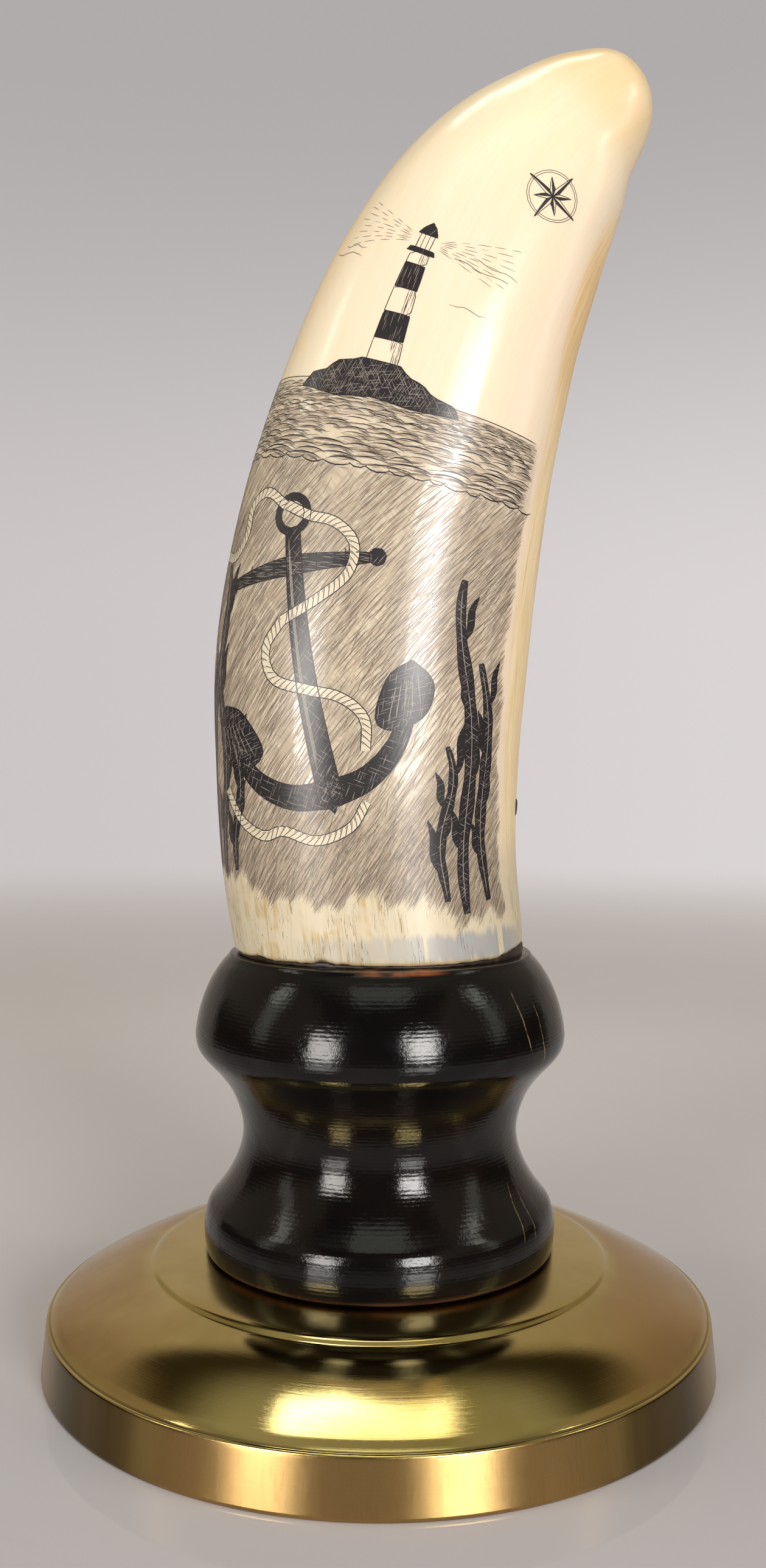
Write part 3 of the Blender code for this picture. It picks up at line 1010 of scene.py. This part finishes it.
def draw_anchor(art):
    """A stocked anchor, drawn upright about its crown and then tilted, with a rope through its ring."""

    def at(points):
        return 0.90 * np.asarray(points, float) @ directions(14.0) + (-5.0, 24.5)

    ring = closed(circle(3.5, 32, (0.0, 46.9)))
    hole = closed(circle(2.25, 32, (0.0, 46.9)))
    art.solid(art.plate, at(np.concatenate([ring, hole])), 60.0)
    art.line.add(at(ring), 0.15, 1.0)
    art.line.add(at(hole), 0.13, 1.0)
    right_arm = ((0.0, 1.4), (6.5, 2.5), (12.2, 6.4), (15.8, 12.2), (16.9, 17.2))
    right_palm = ((18.0, 20.4), (13.6, 18.3), (10.2, 12.2), (11.2, 9.8), (14.4, 9.2), (18.6, 10.8))
    right_palm += ((20.8, 14.6), (20.4, 17.6), (18.0, 20.4))
    for side in (-1, 1):
        arm = through([(side * x, y) for x, y in right_arm], 6)
        art.figure(at(ribbon(arm, np.linspace(4.6, 1.9, len(arm)))), 30.0, ((70, 0.5), (-20, 0.9)), 0.55)
        palm = through([(side * x, y) for x, y in right_palm], 5)[:-1]
        art.figure(at(palm), 75.0, ((20, 0.42), (85, 0.55)), 0.6, 0.2)
        for k in range(5):
            rib = [(side * (12.0 + 1.5 * k), 10.6 + 0.5 * k), (side * (14.6 + 1.0 * k), 16.4 + 0.5 * k)]
            art.scratch.add(at(rib), 0.12, 0.3)
    shank = through([(0.0, 0.2), (0.0, 15.0), (0.0, 30.0), (0.0, 44.6)], 6)
    shank = ribbon(shank, np.linspace(4.2, 2.7, len(shank)))
    art.figure(at(shank), 80.0, ((60, 0.45), (-35, 0.7)), 0.55, 0.18)
    for k, x in enumerate((-1.15, -0.95, -0.72)):
        art.scratch.add(at([(x, 6.0 + k), (x * 0.8, 26.0), (x * 0.7, 43.0 - 2 * k)]), 0.11, 0.3)
    stock = through([(-13.5, 38.2), (0.0, 38.6), (13.5, 38.2)], 8)
    widths = 3.2 - 1.5 * np.abs(np.linspace(-1, 1, len(stock)))
    art.figure(at(ribbon(stock, widths)), 10.0, ((0, 0.42), (6, 0.6)), 0.7, 0.17)
    for x in (-9.0, -4.0, 4.0, 9.0):
        art.line.add(at([(x, 37.2), (x + 0.1, 40.1)]), 0.2, 0.8)
    for side in (-1, 1):
        art.figure(at(circle(1.5, 18, (side * 14.3, 38.2))), 30.0, ((60, 0.5),), 0.5)
    crown = [(-2.6, 2.6), (0.0, -1.9), (2.6, 2.6), (0.0, 4.0)]
    art.figure(at(crown), 0.0, ((45, 0.5),), 0.5)
    behind = [(-1.0, 48.6), (3.2, 46.2), (7.6, 44.6), (10.6, 40.9), (9.2, 36.0), (3.6, 32.6), (-3.0, 30.2)]
    front = [(-3.0, 30.2), (-6.6, 26.6), (-5.8, 21.8), (-0.2, 18.8), (5.2, 16.4), (8.4, 12.2), (7.4, 7.0)]
    tail = [(5.6, -1.2), (2.0, -4.6), (-4.0, -5.2), (-9.4, -2.2), (-13.4, -2.0), (-17.8, 1.6), (-20.6, 7.2)]
    lead = [(-1.2, 48.4), (-5.4, 51.6), (-9.6, 50.2), (-10.8, 45.8), (-14.6, 43.2), (-19.6, 45.0)]
    for path, width in ((behind, 1.5), (front, 1.5), (tail, 1.4), (lead, 1.4)):
        art.rope(at(path), width)


def draw_weed(art):
    """Fronds of weed that rise from the lower border at both sides."""
    rng = np.random.default_rng(19)
    for root, top, sway, width in (
        (-30.0, 58.0, 2.2, 2.6),
        (-26.2, 46.0, 1.6, 2.2),
        (-33.5, 42.0, 1.4, 2.2),
        (-22.5, 34.0, 1.2, 1.7),
        (15.2, 60.0, 2.0, 2.4),
        (19.2, 47.0, 1.3, 2.0),
        (11.6, 33.0, 1.3, 1.7),
    ):
        low = float(ground_floor(np.array(root))) + 0.6
        t = np.linspace(0, 1, 34)
        phase = rng.random() * 6.28
        lean = 2.0 * (rng.random() - 0.5)
        bends = sway * np.sin(phase + 6.5 * t) * (0.25 + t)
        path = np.stack([root + lean * t + bends, low + (top - low) * t], 1)
        swell = width * (0.30 + 0.70 * np.sin(math.pi * np.clip(t * 0.93 + 0.05, 0, 1)) ** 0.7)
        swell = swell * (1 + 0.14 * np.sin(30 * t + phase))
        art.figure(ribbon(path, swell), 65.0, ((40, 0.5), (-30, 0.75)), 0.5)
        art.scratch.add(path[1:-1], 0.12, 0.3)
        for k in range(6, 28, 7):
            side = 1 if k % 2 else -1
            s = np.linspace(0, 1, 14)
            reach = 5.0 + 4.0 * rng.random()
            out = side * (0.3 + 2.4 * s - 0.9 * s * s + 0.35 * np.sin(7 * s))
            branch = path[k] + np.stack([out, reach * s], 1)
            swell = 1.25 * np.sin(math.pi * (0.12 + 0.84 * s))
            art.figure(ribbon(branch, swell), 55.0, ((25, 0.5),), 0.45, 0.11)


def draw_lighthouse(art):
    """A banded tower on rocks at the left, with its beams and some clouds."""
    middle = -7.0
    base = SEA_TOP + 3.6
    height = 17.0
    top = base + height
    rng = np.random.default_rng(3)

    def block(low, high, low_half, high_half):
        sides = ((-low_half, low), (low_half, low), (high_half, high), (-high_half, high))
        return [(middle + x, z) for x, z in sides]

    rocks = ((-12.5, -1.2), (-11.0, 0.9), (-8.6, 1.5), (-7.2, 3.0), (-4.4, 3.5), (-3.2, 4.0), (3.0, 3.9))
    rocks += ((4.6, 2.6), (7.0, 2.1), (8.8, 0.8), (12.6, 0.2), (13.6, -1.4), (6.0, -2.0), (0.0, -1.5))
    rocks += ((-6.0, -2.2),)
    rocks = [(middle + x, SEA_TOP + z) for x, z in rocks]
    art.figure(rocks, 40.0, ((70, 0.34), (-50, 0.5), (15, 0.7)), 0.62, 0.17)
    levels = (0.0, 0.22, 0.46, 0.68, 0.90, 1.0)
    for k, (low, high) in enumerate(zip(levels, levels[1:])):
        a, b = (2.55 - 1.05 * share for share in (low, high))
        part = block(base + height * low, base + height * high, a, b)
        if k % 2:
            art.figure(part, 0.0, ((88, 0.3),), 0.45, 0.13)
        else:
            art.line.add(closed(part), 0.12, 1.0)
            shade = [(middle + 0.25 * a, part[0][1]), part[1], part[2], (middle + 0.25 * b, part[2][1])]
            art.broken(art.line, shade, 90, 0.26, 0.09, 2.0, 0.8)
    art.figure(block(top, top + 0.7, 2.3, 2.0), 0.0, ((90, 0.6),), 0.3, 0.12)
    art.line.add(closed(block(top + 0.7, top + 2.9, 1.15, 1.15)), 0.13, 1.0)
    for off in (-0.4, 0.4):
        art.line.add([(middle + off, top + 0.7), (middle + off, top + 2.9)], 0.09, 1.0)
    roof = ((-1.6, 2.9), (1.6, 2.9), (0.9, 4.1), (0.0, 4.9), (-0.9, 4.1))
    art.figure([(middle + x, top + z) for x, z in roof], 0.0, ((60, 0.5),), 0.3, 0.12)
    for side in (-1, 1):
        for slope in np.linspace(-0.20, 0.36, 8):
            at = 2.4 + 0.7 * rng.random()
            while at < 11.0 + 3.0 * rng.random():
                run = 0.9 + 1.6 * rng.random()
                beam = [(middle + side * s, top + 1.8 + slope * s) for s in (at, at + run)]
                art.line.add(beam, 0.07, 0.3)
                at += run + 0.5 + rng.random()
    clouds = ((9.5, 1.0, 9.0), (11.5, 2.2, 7.5), (-13.0, -2.0, 7.0), (-11.8, -0.9, 5.0), (10.0, -5.5, 6.0))
    for k, (x, z, reach) in enumerate(clouds):
        t = np.linspace(0, 1, 12)
        cloud = np.stack([middle + x + reach * (t - 0.5), top + z + 0.25 * np.sin(9 * t + k)], 1)
        art.line.add(cloud, 0.08, 0.3)


def draw_star(art):
    """A compass star high on the front."""
    centre = np.array([6.5, 124.0])

    def spoke(angle, reach):
        return centre + reach * np.array([math.sin(angle), math.cos(angle)])

    for k in range(8):
        angle = math.radians(45 * k + 8)
        tip = spoke(angle, 3.2 if k % 2 else 5.4)
        for side in (-1, 1):
            notch = spoke(angle + side * math.radians(22.5), 1.25)
            art.line.add([centre, tip, notch, centre], 0.10, 1.0)
            if side == 1:
                art.solid(art.plate, [centre, tip, notch], 45 * k)
    for radius in (3.9, 4.25):
        art.line.add(closed(circle(radius, 48, centre)), 0.08, 1.0)


def engrave():
    """Draws everything and returns the ink's pieces."""
    art = Engraving()
    for draw in (draw_ground, draw_sea, draw_weed, draw_anchor, draw_lighthouse, draw_star):
        draw(art)
    black = ink_material("ink_black", (0.022, 0.018, 0.020), 0.30)
    return [
        art.wash.piece("ink_wash", ink_material("ink_wash", (0.44, 0.345, 0.25), 0.32)),
        art.mid.piece("ink_hatching", ink_material("ink_middle", (0.245, 0.19, 0.14), 0.32)),
        art.fine.piece("ink_fine", ink_material("ink_thin", (0.105, 0.084, 0.068), 0.30)),
        art.plate.piece("ink_figures", black),
        art.scratch.piece("scraped_lines", ink_material("ink_scraped", (0.30, 0.26, 0.22), 0.35)),
        art.bare_rope.piece("scraped_rope", ink_material("ivory_scraped", (0.66, 0.57, 0.43), 0.30)),
        art.line.piece("ink_lines", black),
    ]


# The stand, the foot and the small pieces


def stand_piece(material):
    """The turned wood, finer than its CAD solid."""
    foot, collar, neck, crease, equator, seat = 16.9, 25.05, 36.18, 43.66, 51.94, SEAT_HEIGHT
    profile = [(0, foot), (27.2, foot), (27.6, foot + 0.05), (27.95, foot + 0.2)]
    profile += [(28.13, foot + 0.42), (28.2, foot + 0.7)]
    profile += bezier(profile[-1], (28.8, 20.16), (28.59, 23.58), (27.3, collar), 22)
    profile += bezier(profile[-1], (23.56, 29.33), (22.28, 33.32), (22.28, neck), 26)
    profile += bezier(profile[-1], (22.28, 38.71), (23.61, 42.14), (24.63, crease), 18)
    profile += bezier(profile[-1], (27.66, 48.15), (30.0, 48.35), (30.0, equator), 22)
    profile += bezier(profile[-1], (30.0, 52.43), (29.37, 59.74), (24.59, seat - 0.43), 30)
    profile += [(24.54, seat - 0.22), (24.40, seat - 0.07), (24.16, seat), (0, seat)]
    return lathe("turned_stand", profile, 144, material, 60)


def foot_piece(material):
    """The brass foot, finer than its CAD solid, with a thin turned edge round the rim's top."""
    profile = [(0, 0), (53.3, 0), (53.8, 0.08), (54.0, 0.35), (53.965, 0.70), (53.32, 7.35), (53.27, 7.85)]
    profile += [(53.22, 8.08), (53.1, 8.22), (52.93, 8.26), (52.78, 8.26), (52.65, 8.35)]
    profile += bezier(profile[-1], (52.29, 8.72), (51.71, 9.18), (51.2, 9.45), 7)
    profile += bezier(profile[-1], (45.2, 12.72), (41.5, 14.45), (37.9, 15.0), 30)
    profile += bezier(profile[-1], (37.4, 15.07), (37.15, 15.12), (36.9, 15.3), 5)
    profile += bezier(profile[-1], (36.55, 15.55), (36.35, 15.78), (35.7, 15.93), 7)
    profile += bezier(profile[-1], (34.4, 16.2), (31.5, 16.3), (28.0, 16.6), 8)
    profile += [(0, 16.6)]
    return lathe("turned_foot", profile, 192, material, 50)


def pitch_piece(material):
    """Dark pitch that fills the seat under the root's broken edge, and swells out at the right."""
    columns = 120
    share = np.arange(columns) / columns
    around = (share - 0.5) * 2 * TOOTH.half_girth(0.5)
    outer = TOOTH.point(around, 0.5)
    normal = TOOTH.normal(around, 0.5)
    rough = 0.12 * np.random.default_rng(23).random((columns, 1))
    edge = root_edge(share)[:, None]
    bulge = np.exp(-(((around - 31.0) / 6.0) ** 2))[:, None]
    points = []
    faces = []
    section = ((0.55, 0.0), (0.42, 0.35), (0.50, 0.75), (1.2, 1.0), (3.5, 1.0), (3.5, 0.0))
    for j, (inset, lift) in enumerate(section):
        ring = outer - normal * (inset - 0.35 * bulge + rough)
        ring[:, 2:3] = SEAT_HEIGHT + 0.02 + lift * (0.35 + 0.85 * edge + 0.3 * bulge)
        points.append(ring)
        faces += band(j * columns, (j + 1) % len(section) * columns, columns)
    return new_mesh("root_pitch", np.concatenate(points), faces, material, sharp=60)


def fleck_piece(material):
    """The small dark fleck that stands on the tooth's right edge."""
    sides = 12
    points = []
    section = ((-1.5, 0.12), (-1.2, 0.55), (-0.4, 0.8), (0.6, 1.0), (1.2, 0.8), (1.5, 0.3))
    for up, reach in section:
        off, lift = circle(reach, sides).T
        around = 31.0 + 0.42 * off
        along = np.full(sides, 23.0 + up)
        lift = 0.26 * lift + 0.02
        points.append(TOOTH.point(around, along) + TOOTH.normal(around, along) * lift[:, None])
    faces = wall(len(section), sides)
    faces.append(tuple(range(sides))[::-1])
    faces.append(tuple(sides * (len(section) - 1) + k for k in range(sides)))
    return new_mesh("edge_fleck", np.concatenate(points), faces, material)


# Camera, lights and floor


def set_camera():
    """The photograph's place and field of view."""
    data = bpy.data.cameras.new("photo_camera")
    data.sensor_fit = "AUTO"
    data.sensor_width = 36.0
    data.lens = CAMERA_LENS
    data.clip_start = 0.01
    data.clip_end = 50
    camera = bpy.data.objects.new("photo_camera", data)
    bpy.context.scene.collection.objects.link(camera)
    place = Matrix.Translation(Vector(CAMERA_AT) * MM)
    tilt = Matrix.Rotation(QUARTER_TURN - CAMERA_DOWN, 4, "X")
    camera.matrix_world = place @ tilt @ Matrix.Rotation(CAMERA_LEAN, 4, "Z")
    bpy.context.scene.camera = camera


def area_light(name, place, size, radiance, colour):
    """A rectangle of light that faces down, with its place and size in metres, and its brightness."""
    data = bpy.data.lights.new(name, "AREA")
    data.shape = "RECTANGLE"
    data.size, data.size_y = size
    data.energy = radiance * math.pi * size[0] * size[1]
    data.color = colour
    light = bpy.data.objects.new(name, data)
    bpy.context.scene.collection.objects.link(light)
    light.location = place
    light.visible_camera = False
    return light


def soft_light(name, azimuth, elevation, distance, size, radiance, colour):
    """A light that faces the object, by its direction from the front in degrees."""
    a = math.radians(azimuth)
    e = math.radians(elevation)
    way = Vector((math.sin(a) * math.cos(e), -math.cos(a) * math.cos(e), math.sin(e)))
    light = area_light(name, Vector((0, 0, 0.09)) + way * distance, size, radiance, colour)
    light.rotation_euler = way.to_track_quat("Z", "Y").to_euler()


def set_lights():
    """Two windows in front, weaker ones and streaks at the sides, and two lamps and a panel above."""
    soft_light("window_right", 25, 10.0, 1.1, (0.32, 0.33), 27.0, (1.0, 0.975, 0.95))
    soft_light("window_left", -35, 7.5, 1.1, (0.32, 0.33), 19.0, (1.0, 0.965, 0.92))
    soft_light("side_right", 77, 24, 1.3, (0.23, 0.86), 1.1, (0.92, 1.0, 0.88))
    soft_light("side_left", -77, 24, 1.3, (0.23, 0.86), 1.1, (0.92, 1.0, 0.88))
    for number, azimuth in enumerate((-83, -79, 75, 79)):
        soft_light(f"streak_{number}", azimuth, 38, 1.3, (0.035, 0.34), 6.0, (1.0, 1.0, 0.88))
    area_light("ceiling_lamp_far", (-0.040, 0.135, 0.89), (0.44, 0.085), 4.6, (1.0, 0.99, 0.92))
    area_light("ceiling_lamp_near", (-0.040, 0.052, 0.89), (0.44, 0.085), 1.9, (1.0, 0.98, 0.84))
    area_light("ceiling_panel", (0.0, -0.58, 0.89), (0.56, 0.40), 1.1, (0.95, 1.0, 0.90))


def set_world():
    """A pale background, and for reflections a dim room with a pale wall low behind the object."""
    world = bpy.data.worlds.new("room")
    bpy.context.scene.world = world
    world.use_nodes = True
    world.node_tree.nodes.clear()
    g = Graph(world.node_tree)
    x, y, z = g.axes(g.node("TexCoord").outputs["Generated"])
    wall_share = g.times(g.ramp(y, 0.51, 0.58), g.ramp(z, 0.68, 0.86, 1.0, 0.0))
    beside = g.times(g.ramp(g.math("ABSOLUTE", x), 0.51, 0.61), g.ramp(z, 0.12, 0.32))
    ceiling = g.times(g.ramp(z, 0.74, 0.90), g.ramp(y, 0.20, 0.46, 1.0, 0.0))
    room = g.coats(
        (0.035, 0.028, 0.017),
        (wall_share, (0.42, 0.36, 0.31)),
        (beside, (0.30, 0.25, 0.19)),
        (ceiling, (0.34, 0.32, 0.25)),
    )
    paper = g.coats(
        (0.60, 0.565, 0.56),
        (g.ramp(x, -0.3, 0.3), (0.70, 0.665, 0.66)),
        (g.ramp(z, 0.10, 0.46), (0.43, 0.41, 0.41)),
    )
    back = g.node("Background")
    g.link(g.mix(g.node("LightPath").outputs["Is Camera Ray"], room, paper), back.inputs[0])
    g.link(back.outputs[0], g.node("OutputWorld").inputs[0])


def floor_piece():
    """A pale glossy floor that fades into the background some way behind the object."""
    g = Material("pale_floor")
    place = g.place()
    x, y, _ = g.axes(place)
    colour = g.coats(
        (0.90, 0.885, 0.945),
        (g.ramp(g.noise(place, 9), 0.3, 0.7), (0.93, 0.915, 0.965)),
        (g.ramp(y, 0.28, -0.12), (0.595, 0.575, 0.62)),
    )
    fading = g.ramp(g.reach(x, y), 0.30, 1.05, 1.0, 0.0)
    rough = g.ramp(g.noise(place, 240), 0.3, 0.7, 0.02, 0.035)
    material = g.finished(Base_Color=colour, Roughness=rough, IOR=1.42, Alpha=fading)
    corners = [(x, y, 0.0) for x, y in circle(1100, 96)]
    floor = new_mesh("floor", corners, [tuple(range(len(corners)))], material)


def main():
    """Builds the pieces, puts them on the model's body, and dresses the scene."""
    scene = bpy.context.scene
    scene.view_settings.view_transform = "Standard"
    set_camera()
    ivory = ivory_piece(ivory_material())
    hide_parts("ivory_tooth")
    stand = stand_piece(wood_material())
    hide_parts("wood_stand")
    foot = foot_piece(brass_material())
    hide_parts("brass_base")
    wax = wax_material()
    small = [pitch_piece(wax), fleck_piece(wax)]
    for piece in [ivory, stand, foot, *small, *engrave()]:
        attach(piece, "root")
    set_lights()
    set_world()
    floor_piece()


main()
